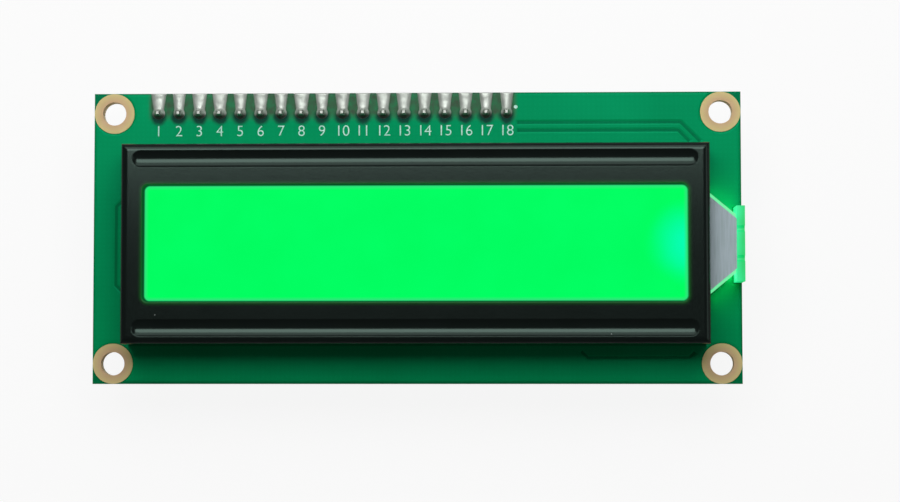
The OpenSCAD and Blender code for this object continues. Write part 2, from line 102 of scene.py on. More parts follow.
def add(tree, kind, inputs=None, **settings):
    """A new node with its settings, a shader node unless its kind says otherwise. An input, by
    name or number, takes a value, an sRGB hex colour, a node or a socket."""
    family = "" if kind.startswith(("Geometry", "Function", "Node")) else "ShaderNode"
    node = tree.nodes.new(family + kind)
    for name, value in settings.items():
        setattr(node, name, value)
    for key, value in (inputs or {}).items():
        socket = node.inputs[key] if isinstance(key, int) else next(
            s for s in node.inputs if s.name == key and s.enabled)
        if isinstance(value, bpy.types.Node):
            value = next(s for s in value.outputs if s.enabled)
        if isinstance(value, bpy.types.NodeSocket):
            tree.links.new(value, socket)
        else:
            socket.default_value = linear(value) if isinstance(value, str) else value
    return node


def new_material(name):
    """An empty material, with its node tree and its Object coordinates."""
    material = bpy.data.materials.new(name)
    material.use_nodes = True
    tree = material.node_tree
    tree.nodes.clear()
    return material, tree, add(tree, "TexCoord").outputs["Object"]


def coat(material, look, *names):
    """Gives a material its shader, with the look that its inputs take, and puts it on CAD nodes."""
    shader = add(material.node_tree, "BsdfPrincipled", look)
    add(material.node_tree, "OutputMaterial", {"Surface": shader})
    for name in names:
        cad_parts[name].data.materials[0] = material


pins = sorted(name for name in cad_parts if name.startswith("pin_"))
first_pin, last_pin = centre_mm(pins[0]), centre_mm(pins[-1])
ring_reach = box_mm("corner_rings")[1]
hole_axis = Vector((ring_reach.x - RING_D / 2, ring_reach.y - RING_D / 2, 0.0))


def from_hole_axis(tree, place):
    """Distance from a place to the axis of the nearest corner hole."""
    spoke = add(tree, "VectorMath", {0: place}, operation="ABSOLUTE")
    spoke = add(tree, "VectorMath", {0: spoke, 1: hole_axis * MM}, operation="SUBTRACT")
    spoke = add(tree, "VectorMath", {0: spoke, 1: (1.0, 1.0, 0.0)}, operation="MULTIPLY")
    return add(tree, "VectorMath", {0: spoke}, operation="LENGTH").outputs["Value"]


def cloth_height(tree, place):
    """Height of the woven cloth under a surface: threads across and along."""
    threads = {"Vector": place, "Scale": math.pi / 10 / (CLOTH_PITCH * MM), "Distortion": 0.7}
    warp, weft = (add(tree, "TexWave", threads, bands_direction=way).outputs["Fac"] for way in "XY")
    return add(tree, "Math", {0: warp, 1: weft}, operation="MULTIPLY")


def flux_and_painted_shade(tree, place):
    """How much baked flux and painted shade lies at a place: in a blotted band along the header's
    joints, flux darkened by painted shade, and in a halo of painted shadow round the inner end of each."""
    half_row = (last_pin.x - first_pin.x) / 2
    axes = add(tree, "SeparateXYZ", {"Vector": place})
    along = add(tree, "Math", {0: axes.outputs["X"], 1: first_pin.x * MM}, operation="SUBTRACT")
    across = add(tree, "Math", {0: axes.outputs["Y"], 1: (first_pin.y - FLUX_SHADE_LINE) * MM},
        operation="SUBTRACT")
    near = add(tree, "Math", {0: along, 1: PIN_PITCH / 2 * MM}, operation="PINGPONG")
    near = add(tree, "CombineXYZ", {"X": near, "Y": across})
    near = add(tree, "VectorMath", {0: near}, operation="LENGTH").outputs["Value"]
    blots = add(tree, "TexNoise", {"Vector": place, "Scale": 1 / (FLUX_SHADE_BLOT * MM), "Detail": 3.0})
    halo = add(tree, "Math", {0: blots, 1: HALO_WANDER * MM, 2: near}, operation="MULTIPLY_ADD")
    halo = add(tree, "MapRange", {"Value": halo, "From Min": HALO[1] * MM, "From Max": HALO[0] * MM},
        interpolation_type="SMOOTHSTEP")
    band = add(tree, "MapRange", {"Value": across, "From Min": -FLUX_SHADE_FADE * MM,
        "From Max": FLUX_SHADE_FADE * MM}, interpolation_type="SMOOTHSTEP")
    thick = add(tree, "MapRange", {"Value": blots, "From Min": 0.3, "From Max": 0.7, "To Min": 0.5,
        "To Max": 0.9})
    band = add(tree, "Math", {0: band, 1: thick}, operation="MULTIPLY")
    aside = add(tree, "Math", {0: along, 1: half_row * MM}, operation="SUBTRACT")
    aside = add(tree, "Math", {0: aside}, operation="ABSOLUTE")
    inside = add(tree, "MapRange", {"Value": aside, "From Min": (half_row + FLUX_SHADE_ENDS[1]) * MM,
        "From Max": (half_row + FLUX_SHADE_ENDS[0]) * MM}, interpolation_type="SMOOTHSTEP")
    return [add(tree, "Math", {0: part, 1: inside}, operation="MULTIPLY") for part in (band, halo)]


def mask_green(tree, place, cloth, flux_and_shade, thick, thin):
    """Colour of solder mask: it gathers in broad clouds and thins a little over the threads."""
    clouds = add(tree, "TexNoise", {"Vector": place, "Scale": 1 / (MASK_CLOUD * MM), "Detail": 3.0})
    tone = add(tree, "Math", {0: cloth, 1: 0.16, 2: clouds}, operation="MULTIPLY_ADD")
    tone = add(tree, "MapRange", {"Value": tone, "From Min": 0.3, "From Max": 0.8})
    green = add(tree, "Mix", {"Factor": tone, "A": thick, "B": thin}, data_type="RGBA")
    # then the baked flux and the painted shade round the header's joints
    for amount, stain in zip(flux_and_shade, (FLUX_AND_SHADE_BAND, SHADOW_AND_FLUX_HALO)):
        green = add(tree, "Mix", {"Factor": amount, "A": green, "B": stain}, data_type="RGBA")
    return green


# Solder mask over bare laminate: semi-gloss and dark green, with the weave just felt. The routed
# edges show plies of glass, and the walls of the four corner holes are plated.
board_mask, tree, place = new_material("solder_mask_on_laminate")
cloth = cloth_height(tree, place)
# with baked flux and painted shade along the header's joints
green = mask_green(tree, place, cloth, flux_and_painted_shade(tree, place), MASK_ON_LAMINATE, MASK_ON_LAMINATE_THIN)
plies = add(tree, "TexWave", {"Vector": place, "Scale": math.pi / 10 / (PLY * MM), "Distortion": 2.0},
    bands_direction="Z")
edge = add(tree, "Mix", {"Factor": plies.outputs["Fac"], "A": LAMINATE_EDGE_DARK, "B": LAMINATE_EDGE},
    data_type="RGBA")
in_hole = add(tree, "Math", {0: from_hole_axis(tree, place), 1: HOLE_REACH * MM}, operation="LESS_THAN")
edge = add(tree, "Mix", {"Factor": in_hole, "A": edge, "B": HOLE_PLATING}, data_type="RGBA")
facing = add(tree, "SeparateXYZ", {"Vector": add(tree, "NewGeometry").outputs["Normal"]})
flat = add(tree, "Math", {0: facing.outputs["Z"]}, operation="ABSOLUTE")
flat = add(tree, "Math", {0: flat, 1: 0.5}, operation="GREATER_THAN")
surface = add(tree, "Mix", {"Factor": flat, "A": edge, "B": green}, data_type="RGBA")
gloss = add(tree, "MapRange", {"Value": flat, "To Min": 0.8, "To Max": 0.3})
bump = add(tree, "Bump", {"Height": cloth, "Strength": 0.25, "Distance": 0.012 * MM})
coat(board_mask, {"Base Color": surface, "Roughness": gloss, "IOR": 1.5, "Specular Tint": MASK_SHINE,
    "Normal": bump}, "circuit_board")


# ---- Copper under the mask, front ----
# Etched copper left over most of the front face. It stands a hair proud under the mask, which
# flows down its edges, so the tracks show as channels with one bright and one dark side.
COPPER_RISE = 0.045
COPPER_SLOPE = 0.18      # width of the mask's slope down an edge of the copper
COPPER_EDGES = 0.18, 0.15, 0.15, 0.32    # bare strips along the right, top, left and bottom edges; the wider ones at the bottom and right show as darker lines, painted shade along those edges
COPPER_GRAIN = 0.3       # breadth of the copper's own unevenness, felt through the mask
KEEP_HOLES = 5           # the way to triangulate that leaves holes open
RING_CLEAR = 0.08        # the copper stops this far from a corner ring
NOTCH_STEPS = 20
WALL_AND_GAP = 0.7       # from the glass's edges to the outer faces of the bezel's walls
TONGUE_CLEAR = 0.15      # the copper stops this far from the tongue's moulding and the lamp board
TONGUE_ROOT_W, TONGUE_TIP_W = 12.5, 7.1
CHANNEL_W = 0.35
CHANNELS = (((12.5, 14.25), (32.6, 14.25), (35.0, 11.85)),
            ((12.5, 13.25), (32.3, 13.25), (33.7, 11.85)),
            ((-36.5, 4.6), (-37.2, 3.9), (-37.2, -5.8), (-36.5, -6.5)),
            ((20.3, -14.0), (21.1, -14.8), (33.5, -14.8), (34.2, -14.1)))
MASK_ON_COPPER, MASK_ON_COPPER_THIN = "028E52", "04985A"
board_low, board_high = box_mm("circuit_board")
lamp_board_low, lamp_board_high = box_mm("lamp_board")
glass_low, glass_high = box_mm("front_glass")
foot_low = glass_low.xy - Vector((WALL_AND_GAP, WALL_AND_GAP))
foot_high = glass_high.xy + Vector((WALL_AND_GAP, WALL_AND_GAP))
middle_y = (foot_low.y + foot_high.y) / 2


def mitre(before, after, distance):
    """The step to the right at a corner between two lines that moves both of them by a distance."""
    right = Vector((before.y, -before.x)).normalized()
    middle = (right + Vector((after.y, -after.x)).normalized()).normalized()
    return middle * distance / middle.dot(right)


def moved_out(outline, distance):
    """A closed outline, counter-clockwise, moved outwards with mitred corners."""
    return [point + mitre(point - outline[i - 1], outline[(i + 1) % len(outline)] - point, distance)
            for i, point in enumerate(outline)]


def track(path, width):
    """The closed outline of a track along a path, counter-clockwise."""
    path = [Vector(p) for p in path]
    lines = [b - a for a, b in zip(path, path[1:])]
    sides = [mitre(*pair, width / 2) for pair in zip([lines[0], *lines], [*lines, lines[-1]])]
    right, left = ([p + side * way for p, side in zip(path, sides)] for way in (1, -1))
    return right + left[::-1]


def relief(bm, outer, holes, face_z):
    """A thin plateau with sloping edges: an outline, with channels or holes left out of it."""
    feet = [outer, *holes]
    heads = [moved_out(outer, -COPPER_SLOPE)] + [moved_out(hole, COPPER_SLOPE) for hole in holes]
    levels = []
    for outlines, z in ((feet, face_z), (heads, face_z + COPPER_RISE)):
        levels.append([[bm.verts.new((p.x * MM, p.y * MM, z * MM)) for p in line] for line in outlines])
    for foot, head in zip(*levels):
        for i in range(len(foot)):
            bm.faces.new((foot[i - 1], foot[i], head[i], head[i - 1]))
    for outlines, ring in zip((feet, heads), levels):
        corners = [v for line in ring for v in line]
        points, rims = [], []
        for line in outlines:
            rims.append(range(len(points), len(points) + len(line)))
            points += line
        _, _, triangles, sources, _, _ = delaunay_2d_cdt(points, [], rims, KEEP_HOLES, 1e-6)
        for triangle in triangles:
            bm.faces.new([corners[sources[i][0]] for i in triangle])


def ring_notch(corner):
    """The copper's edge where it goes round a corner ring, for corners counter-clockwise."""
    sx, sy = ((1, 1), (-1, 1), (-1, -1), (1, -1))[corner]
    centre = Vector((sx * hole_axis.x, sy * hole_axis.y))
    radius = RING_D / 2 + RING_CLEAR
    first, last = (math.acos((board_high.y - hole_axis.y - COPPER_EDGES[side % 4]) / radius)
                   for side in (corner, corner + 1))
    start, turn = corner * math.pi / 2 - first, first + last - 1.5 * math.pi
    turns = [start + turn * i / NOTCH_STEPS for i in range(NOTCH_STEPS + 1)]
    return [centre + radius * Vector((math.cos(t), math.sin(t))) for t in turns]


def mesh_of(bm, name):
    """The mesh of a bmesh, its doubles merged and its faces turned outwards."""
    bmesh.ops.remove_doubles(bm, verts=bm.verts, dist=0.0001 * MM)
    bmesh.ops.recalc_face_normals(bm, faces=bm.faces)
    if bm.calc_volume(signed=True) < 0:
        bmesh.ops.reverse_faces(bm, faces=bm.faces)
    mesh = bpy.data.meshes.new(name)
    bm.to_mesh(mesh)
    bm.free()
    return mesh


def placed(name, data):
    """A new object in the scene."""
    thing = bpy.data.objects.new(name, data)
    bpy.context.scene.collection.objects.link(thing)
    return thing


def finish_piece(name, mesh, material=None):
    """A finished mesh as a piece of the object."""
    piece = placed(name, mesh)
    if material:
        mesh.materials.append(material)
    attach(piece, "root")
    return piece


# Solder mask over copper: semi-gloss, a brighter green than over the laminate, dulled where
# flux has baked on it, and darker there with painted shade
copper_mask, tree, place = new_material("solder_mask_on_copper")
cloth = cloth_height(tree, place)
flux_and_shade = flux_and_painted_shade(tree, place)
green = mask_green(tree, place, cloth, flux_and_shade, MASK_ON_COPPER, MASK_ON_COPPER_THIN)
grain = add(tree, "TexNoise", {"Vector": place, "Scale": 1 / (COPPER_GRAIN * MM), "Detail": 2.0})
height = add(tree, "Math", {0: cloth, 1: 0.5, 2: grain}, operation="MULTIPLY_ADD")
bump = add(tree, "Bump", {"Height": height, "Strength": 0.2, "Distance": 0.012 * MM})
gloss = add(tree, "MapRange", {"Value": grain, "To Min": 0.26, "To Max": 0.36})
gloss = add(tree, "Math", {0: flux_and_shade[0], 1: 0.4, 2: gloss}, operation="MULTIPLY_ADD")
coat(copper_mask, {"Base Color": green, "Roughness": gloss, "IOR": 1.5, "Specular Tint": MASK_SHINE,
    "Normal": bump})

edge_x = board_high.x - COPPER_EDGES[0]
lamp_x = lamp_board_low.x - TONGUE_CLEAR
lamp_y = lamp_board_low.y - TONGUE_CLEAR, lamp_board_high.y + TONGUE_CLEAR
tongue_y = centre_mm("light_guide").y
root, tip = TONGUE_ROOT_W / 2 + TONGUE_CLEAR, TONGUE_TIP_W / 2 + TONGUE_CLEAR
outline = [Vector((edge_x, lamp_y[1])), *ring_notch(0), *ring_notch(1), *ring_notch(2), *ring_notch(3)]
outline += [Vector(p) for p in ((edge_x, lamp_y[0]), (lamp_x, lamp_y[0]), (lamp_x, tongue_y - tip),
    (foot_high.x, tongue_y - root), (foot_high.x, foot_low.y), foot_low, (foot_low.x, foot_high.y),
    foot_high, (foot_high.x, tongue_y + root), (lamp_x, tongue_y + tip), (lamp_x, lamp_y[1]))]
bm = bmesh.new()
relief(bm, outline, [track(path, CHANNEL_W) for path in CHANNELS], board_high.z)
finish_piece("copper_front", mesh_of(bm, "copper_front"), copper_mask)


# ---- Tracks and vias on the back ----
# Tracks that fan out from the two driver chips to rows of vias, which lead to the contact strips
# in front. Each is a low ridge under the mask, and each via a plated hole tented by the mask.
TRACK_W = 0.26
TRACK_TOP = 0.55         # width of a ridge's flat top, as a share of its foot
TRACK_PITCH = 0.4
VIA_PITCH = 1.27
VIAS_A_ROW = 12
COLLAR_D = 0.432
FAN_START, FAN_END = 22, 158    # angles at a dome between which its tracks arrive, in degrees
FAN_KNEE, FAN_SPREAD = 1.1, 0.5    # a track leaves its via straight for this far, and a little more
UNDER_DOME = 0.3         # a track ends this far inside the dome's rim
LEFT_PIN, LEFT_TRACKS = 6, 4       # the left dome's tracks start from this pin on, counted from 0
LEFT_LEVEL, LEFT_LANE, LEFT_TURN, TURN_PITCH = 12.35, -7.6, 1.2, 0.9
RIGHT_RUNS = (6.26, 12.35, 24.99), (8.8, 12.85, 30.19), (11.34, 13.35, 32.0)    # start, level, lane
RIGHT_END = 8.4
CUT_LEFT, CUT_RIGHT = 0.5, 0.6     # how far each corner of those tracks is cut
dome_low, dome_high = box_mm("driver_dome_right")
dome_x, dome_r = (dome_low.x + dome_high.x) / 2, (dome_high.x - dome_low.x) / 2
via_row = centre_mm("contact_strip_upper").y - middle_y
back_z = board_low.z

tracks, vias = [], []
for side_x in (-1, 1):
    for side_y in (-1, 1):
        for i in range(VIAS_A_ROW):
            x = (i - (VIAS_A_ROW - 1) / 2) * VIA_PITCH
            angle = math.radians(FAN_END + (FAN_START - FAN_END) * i / (VIAS_A_ROW - 1))
            rim = Vector((math.cos(angle), math.sin(angle))) * (dome_r - UNDER_DOME)
            knee = Vector((x, via_row - FAN_KNEE - FAN_SPREAD * abs(rim.x) / dome_r))
            points = [Vector((x, via_row)), knee, rim]
            tracks.append([Vector((side_x * dome_x + p.x, middle_y + side_y * p.y)) for p in points])
            vias.append(tracks[-1][0])
# From the header's pins: four tracks to the left dome, and three to chips and a via on the right
landing = dome_r - dome_x - 2 * UNDER_DOME
for i in range(LEFT_TRACKS):
    x = first_pin.x + (LEFT_PIN + i) * PIN_PITCH
    level, lane = LEFT_LEVEL + i * TRACK_PITCH, LEFT_LANE + i * TRACK_PITCH
    turn = LEFT_TURN - i * TURN_PITCH
    tracks.append([Vector(p) for p in ((x, first_pin.y), (x, level), (lane - CUT_LEFT, level),
        (lane, level - CUT_LEFT), (lane, turn), (landing, turn - lane + landing))])
for x, level, lane in RIGHT_RUNS:
    tracks.append([Vector(p) for p in ((x, first_pin.y), (x, level + CUT_RIGHT), (x + CUT_RIGHT, level),
        (lane - CUT_RIGHT, level), (lane, level - CUT_RIGHT), (lane, RIGHT_END))])


def new_tree(name, output, **inputs):
    """An empty tree of geometry nodes with named inputs, and the sockets that give their values."""
    tree = bpy.data.node_groups.new(name, "GeometryNodeTree")
    for socket, kind in inputs.items():
        tree.interface.new_socket(socket, in_out="INPUT", socket_type="NodeSocket" + kind)
    tree.interface.new_socket(output, in_out="OUTPUT", socket_type="NodeSocketGeometry")
    return tree, add(tree, "NodeGroupInput").outputs


def end_tree(tree, geometry, skin):
    """Ends a tree in plain meshes of one material."""
    geometry = add(tree, "GeometryNodeRealizeInstances", {"Geometry": geometry})
    geometry = add(tree, "GeometryNodeSetMaterial", {"Geometry": geometry, "Material": skin})
    add(tree, "NodeGroupOutput", {0: geometry})


def worked_out(thing):
    """The plain mesh that an object's modifier or letters come to. The object itself goes."""
    graph = bpy.context.evaluated_depsgraph_get()
    mesh = bpy.data.meshes.new_from_object(thing.evaluated_get(graph), depsgraph=graph)
    bpy.data.objects.remove(thing)
    return mesh


def grown(name, verts, edges, tree, **values):
    """The mesh that a node tree grows on points and lines, given in millimetres."""
    seed = bpy.data.meshes.new(name)
    seed.from_pydata([Vector(v) * MM for v in verts], edges, [])
    carrier = placed(name, seed)
    modifier = carrier.modifiers.new(name, "NODES")
    modifier.node_group = tree
    for item in tree.interface.items_tree:
        if item.in_out == "INPUT" and item.name in values:
            modifier[item.identifier] = values[item.name]
    mesh = worked_out(carrier)
    if mesh.materials[0] is None:
        mesh.materials.pop(index=0)
    return mesh


# Sweeps a flat-topped profile along each track
sweep, given = new_tree("tracks_under_mask", "Relief", Tracks="Geometry", Width="Float", Rise="Float",
    Mask="Material")
lines = add(sweep, "GeometryNodeMeshToCurve", {"Mesh": given["Tracks"]})
lines = add(sweep, "GeometryNodeSetCurveNormal", {"Curve": lines}, mode="Z_UP")
narrow = add(sweep, "Math", {0: given["Width"], 1: TRACK_TOP}, operation="MULTIPLY")
sunk_too = add(sweep, "Math", {0: given["Rise"], 1: 2.0}, operation="MULTIPLY")
profile = add(sweep, "GeometryNodeCurvePrimitiveQuadrilateral",
    {"Bottom Width": given["Width"], "Top Width": narrow, "Offset": 0.0, "Height": sunk_too},
    mode="TRAPEZOID")
ridges = add(sweep, "GeometryNodeCurveToMesh", {"Curve": lines, "Profile Curve": profile,
    "Fill Caps": True})
ridges = add(sweep, "GeometryNodeSetShadeSmooth", {"Geometry": ridges, "Shade Smooth": False})
end_tree(sweep, ridges, given["Mask"])

verts, edges = [], []
for path in tracks:
    edges += [(len(verts) + i, len(verts) + i + 1) for i in range(len(path) - 1)]
    verts += [p.to_3d() + Vector((0, 0, back_z)) for p in path]
mesh = grown("tracks_back", verts, edges, sweep, Width=TRACK_W * MM, Rise=COPPER_RISE * MM,
    Mask=copper_mask)
finish_piece("tracks_back", mesh)

# Rings of plated copper with a dark, tented hole in each
ring, given = new_tree("tented_vias", "Vias", Places="Geometry", Radius="Float", Rise="Float",
    Mask="Material", Hole="Material")
loop = add(ring, "GeometryNodeCurvePrimitiveCircle", {"Radius": given["Radius"], "Resolution": 20})
bead = add(ring, "GeometryNodeCurvePrimitiveCircle", {"Radius": given["Rise"], "Resolution": 6})
collar = add(ring, "GeometryNodeCurveToMesh", {"Curve": loop, "Profile Curve": bead})
lid = add(ring, "GeometryNodeMeshCylinder", {"Vertices": 20, "Radius": given["Radius"],
    "Depth": given["Rise"]})
both = add(ring, "GeometryNodeJoinGeometry")
for form, skin in ((collar, "Mask"), (lid.outputs["Mesh"], "Hole")):
    copies = add(ring, "GeometryNodeInstanceOnPoints", {"Points": given["Places"], "Instance": form})
    copies = add(ring, "GeometryNodeRealizeInstances", {"Geometry": copies})
    copies = add(ring, "GeometryNodeSetMaterial", {"Geometry": copies, "Material": given[skin]})
    ring.links.new(copies.outputs[0], both.inputs[0])
add(ring, "NodeGroupOutput", {0: both})
mesh = grown("vias", [(p.x, p.y, back_z) for p in vias], [], ring, Radius=COLLAR_D / 2 * MM,
    Rise=COPPER_RISE * MM, Mask=copper_mask, Hole=board_mask)
finish_piece("vias", mesh)


# ---- Printed numbers ----
# White epoxy ink, screen-printed over the mask: the number of each pin, a dot that ends the row,
# and on the back a circle that marks the reach of each epoxy dome.
NUMBER_H = 1.4
NUMBER_Y = 13.25
CAPITAL = 0.73           # height of a figure as a share of the type's size
STROKE_THINNED = 0.018
DOT_AT, DOT_R = (12.3, 16.2), 0.24
CIRCLE_CLEAR = 0.5       # the circle's distance from the dome
CIRCLE_LINE = 0.18
INK_T = 0.02
ink_z = board_high.z + COPPER_RISE


def grained(name, grain, colours, rough, more, *nodes, detail=2.0, stretch=(1.0, 1.0, 1.0),
            contrast=(0.0, 1.0), relief=None, tints="Base Color"):
    """A finish with one grain, of a size in millimetres. The grain carries a surface from one
    colour and roughness to the other, and stands out by a relief of some strength and depth."""
    material, tree, place = new_material(name)
    place = add(tree, "Mapping", {"Vector": place, "Scale": stretch})
    grain = add(tree, "TexNoise", {"Vector": place, "Scale": 1 / (grain * MM), "Detail": detail})
    grain = add(tree, "MapRange", {"Value": grain, "From Min": contrast[0], "From Max": contrast[1]})
    tint = add(tree, "Mix", {"Factor": grain, "A": colours[0], "B": colours[1]}, data_type="RGBA")
    if isinstance(rough, tuple):
        rough = add(tree, "MapRange", {"Value": grain, "To Min": rough[0], "To Max": rough[1]})
    if relief:
        more["Normal"] = add(tree, "Bump", {"Height": grain, "Strength": relief[0],
            "Distance": relief[1] * MM})
    coat(material, {tints: tint, "Roughness": rough, **more}, *nodes)
    return material


# Screen-printed epoxy ink: matt, and thin enough that the green shows through its worn places
ink = grained("white_printing_ink", 0.25, ("9FE0CB", "D2F6EA"), 0.55, {"IOR": 1.5}, detail=3.0,
    contrast=(0.35, 0.65))

bm = bmesh.new()
for i in range(len(pins)):
    text = bpy.data.curves.new("number", "FONT")
    text.body = str(i + 1)
    text.align_x = text.align_y = "CENTER"
    text.extrude = INK_T / 2 * MM
    text.offset = -STROKE_THINNED * MM
    text.size = NUMBER_H / CAPITAL * MM
    text.space_character = 0.94
    figure = worked_out(placed("number", text))
    spot = Vector((first_pin.x + i * PIN_PITCH, NUMBER_Y, ink_z + INK_T / 2))
    figure.transform(Matrix.Translation(spot * MM))
    bm.from_mesh(figure)
bmesh.ops.create_cone(bm, cap_ends=True, segments=20, radius1=DOT_R * MM, radius2=(DOT_R - INK_T) * MM,
    depth=INK_T * MM, matrix=Matrix.Translation(Vector((*DOT_AT, ink_z)) * MM))
finish_piece("printed_numbers", mesh_of(bm, "printed_numbers"), ink)

hoop, given = new_tree("printed_circles", "Circles", Centres="Geometry", Radius="Float", Line="Float",
    Depth="Float", Ink="Material")
loop = add(hoop, "GeometryNodeCurvePrimitiveCircle", {"Radius": given["Radius"], "Resolution": 96})
loop = add(hoop, "GeometryNodeSetCurveNormal", {"Curve": loop}, mode="Z_UP")
bar = add(hoop, "GeometryNodeCurvePrimitiveQuadrilateral",
    {"Width": given["Line"], "Height": given["Depth"]}, mode="RECTANGLE")
hoops = add(hoop, "GeometryNodeCurveToMesh", {"Curve": loop, "Profile Curve": bar})
hoops = add(hoop, "GeometryNodeInstanceOnPoints", {"Points": given["Centres"], "Instance": hoops})
end_tree(hoop, hoops, given["Ink"])
mesh = grown("dome_circles", [(-dome_x, middle_y, back_z), (dome_x, middle_y, back_z)], [], hoop,
    Radius=(dome_r + CIRCLE_CLEAR) * MM, Line=CIRCLE_LINE * MM, Depth=2 * (COPPER_RISE + INK_T) * MM,
    Ink=ink)
finish_piece("dome_circles", mesh)


# ---- Plated corner rings ----
# Copper rings round the screw holes, plated with nickel and a flash of gold. The plating is satin and
# duller in patches, and painted shade makes it warmer and browner towards the hole.
PATCH_SIZE = 0.7                # breadth of a patch of duller plating
PAINTED_SHADE_RADII = 1.65, 2.6       # from the axis, the painted shade's browner colour gives way to the paler one between these
PAINTED_SHADE_WANDER = 0.5
# Gold over nickel: pale, warm and satin rather than a mirror, with painted shade browner towards the
# hole
gold, tree, place = new_material("gold_flash_on_copper")
patches = add(tree, "TexNoise", {"Vector": place, "Scale": 1 / (PATCH_SIZE * MM), "Detail": 4.0})
radius = add(tree, "Math", {0: patches, 1: PAINTED_SHADE_WANDER * MM, 2: from_hole_axis(tree, place)},
    operation="MULTIPLY_ADD")
outer = add(tree, "MapRange", {"Value": radius, "From Min": PAINTED_SHADE_RADII[0] * MM, "From Max": PAINTED_SHADE_RADII[1] * MM})
# painted shade: browner towards the hole, paler further out
tint = add(tree, "Mix", {"Factor": outer, "A": "CFAC86", "B": "D6C488"}, data_type="RGBA")
dull = add(tree, "MapRange", {"Value": patches, "From Min": 0.3, "From Max": 0.7, "To Min": 0.55,
    "To Max": 0.7})
bump = add(tree, "Bump", {"Height": patches, "Strength": 0.25, "Distance": 0.02 * MM})
coat(gold, {"Base Color": tint, "Metallic": 0.25, "Roughness": dull, "Normal": bump}, "corner_rings")


# ---- Header ----
# Square brass pins, gold-flashed and tinned by the solder at their upper ends, pressed through a
# row of moulded black segments that snap apart at V-shaped notches.
TINNED = -1.4, -0.9      # heights between which gold gives way to tin, inside the board
DRAW_LINE = 0.08         # width of a line left by the drawing die, coarser than real so that it shows
# Brass drawn through a die and flashed with gold: bright and warm, streaked along each pin, and
# silvery where solder has tinned it
header_gold, tree, place = new_material("gold_flashed_brass")
axes = add(tree, "SeparateXYZ", {"Vector": place})
tinned = add(tree, "MapRange", {"Value": axes.outputs["Z"], "From Min": TINNED[0] * MM,
    "From Max": TINNED[1] * MM})
drawn = add(tree, "Mapping", {"Vector": place, "Scale": (1.0, 1.0, 0.03)})
drawn = add(tree, "TexNoise", {"Vector": drawn, "Scale": 1 / (DRAW_LINE * MM), "Detail": 2.0})
brass = add(tree, "Mix", {"Factor": drawn, "A": "C9A04C", "B": "E3C477"}, data_type="RGBA")
metal = add(tree, "Mix", {"Factor": tinned, "A": brass, "B": "B2B6B0"}, data_type="RGBA")
rough = add(tree, "Math", {0: tinned, 1: 0.22, 2: 0.2}, operation="MULTIPLY_ADD")
rough = add(tree, "Math", {0: drawn, 1: 0.15, 2: rough}, operation="MULTIPLY_ADD")
bump = add(tree, "Bump", {"Height": drawn, "Strength": 0.15, "Distance": 0.01 * MM})
coat(header_gold, {"Base Color": metal, "Metallic": 1.0, "Roughness": rough, "Normal": bump}, *pins)

# Polyester filled with glass fibre: satin black, its skin faintly rough where fibres lie under it,
# the roughness drawn coarser than the fibres so that it shows
grained("glass_filled_polyester_moulding", 0.12, ("101112", "1F2021"), (0.42, 0.62), {"IOR": 1.55},
    "header_housing", detail=4.0, relief=(0.3, 0.02))


# ---- Solder ----
# Hand-laid tin-lead joints. Each header joint fills its long pad from the board's edge as a drop
# and climbs the pin in a hollow fillet; no two have quite the same width or height.
JOINT_EDGE_W = 1.9
JOINT_NECK_W = 1.2
JOINT_EYE_D = 1.6
JOINT_H = 0.46
JOINT_ROUND = 0.15       # the joint rounds down to the board's edge within this distance
JOINT_CLIMB = 0.98       # how high the fillet climbs the pin
JOINT_PIN_R, JOINT_HOLLOW = 0.38, 0.17    # where the fillet leaves the pin, and how fast it falls
JOINT_SINK = 0.5         # the drop sinks to nothing this far inside the pin
JOINT_ROWS, JOINT_COLUMNS = 34, 16
JOINT_WOBBLE, JOINT_WANDER = 0.9, (0.2, 0.0, 0.14)    # size and reach of a joint's unevenness
WOBBLE_FROM = 0.12       # above this height, so that the joint's foot keeps its place
SOLDER_SKIN, SOLDER_GRAIN = 0.5, 0.12    # dull patches, and grains coarser than real so that they show
FLUX_SHADE_END_AT = 0.5           # the joint is darker across here, this far inside the pin: baked flux and painted shade
FLUX_SHADE_END_W = 0.3, 0.75      # and fades out between these distances from there
FLUX_SHADE_END_WANDER = 0.3
pad_reach = board_high.y - first_pin.y

# Tin-lead solder: satin silver with fine frozen grains, darkened on each joint's inner end by baked
# flux and painted shade
solder, tree, place = new_material("tin_lead_solder")
skin = add(tree, "TexNoise", {"Vector": place, "Scale": 1 / (SOLDER_SKIN * MM), "Detail": 3.0})
grains = add(tree, "TexVoronoi", {"Vector": place, "Scale": 1 / (SOLDER_GRAIN * MM)})
silver = add(tree, "Mix", {"Factor": skin, "A": "B2BAB2", "B": "D0D6CE"}, data_type="RGBA")
axes = add(tree, "SeparateXYZ", {"Vector": place})
flux_shade_end = add(tree, "Math", {0: axes.outputs["Y"], 1: (first_pin.y - FLUX_SHADE_END_AT) * MM},
    operation="SUBTRACT")
flux_shade_end = add(tree, "Math", {0: flux_shade_end}, operation="ABSOLUTE")
flux_shade_end = add(tree, "Math", {0: skin, 1: FLUX_SHADE_END_WANDER * MM, 2: flux_shade_end}, operation="MULTIPLY_ADD")
flux_shade_end = add(tree, "MapRange", {"Value": flux_shade_end, "From Min": FLUX_SHADE_END_W[1] * MM, "From Max": FLUX_SHADE_END_W[0] * MM,
    "To Max": 0.85}, interpolation_type="SMOOTHSTEP")
# baked flux and painted shade: the inner end of each joint is darker
silver = add(tree, "Mix", {"Factor": flux_shade_end, "A": silver, "B": "4C5048"}, data_type="RGBA")
rough = add(tree, "MapRange", {"Value": skin, "From Min": 0.3, "From Max": 0.7, "To Min": 0.36,
    "To Max": 0.52})
height = add(tree, "Math", {0: grains, 1: 0.25, 2: skin}, operation="MULTIPLY_ADD")
bump = add(tree, "Bump", {"Height": height, "Strength": 0.2, "Distance": 0.03 * MM})
coat(solder, {"Base Color": silver, "Metallic": 0.5, "Roughness": rough, "Normal": bump}, "lamp_solder")

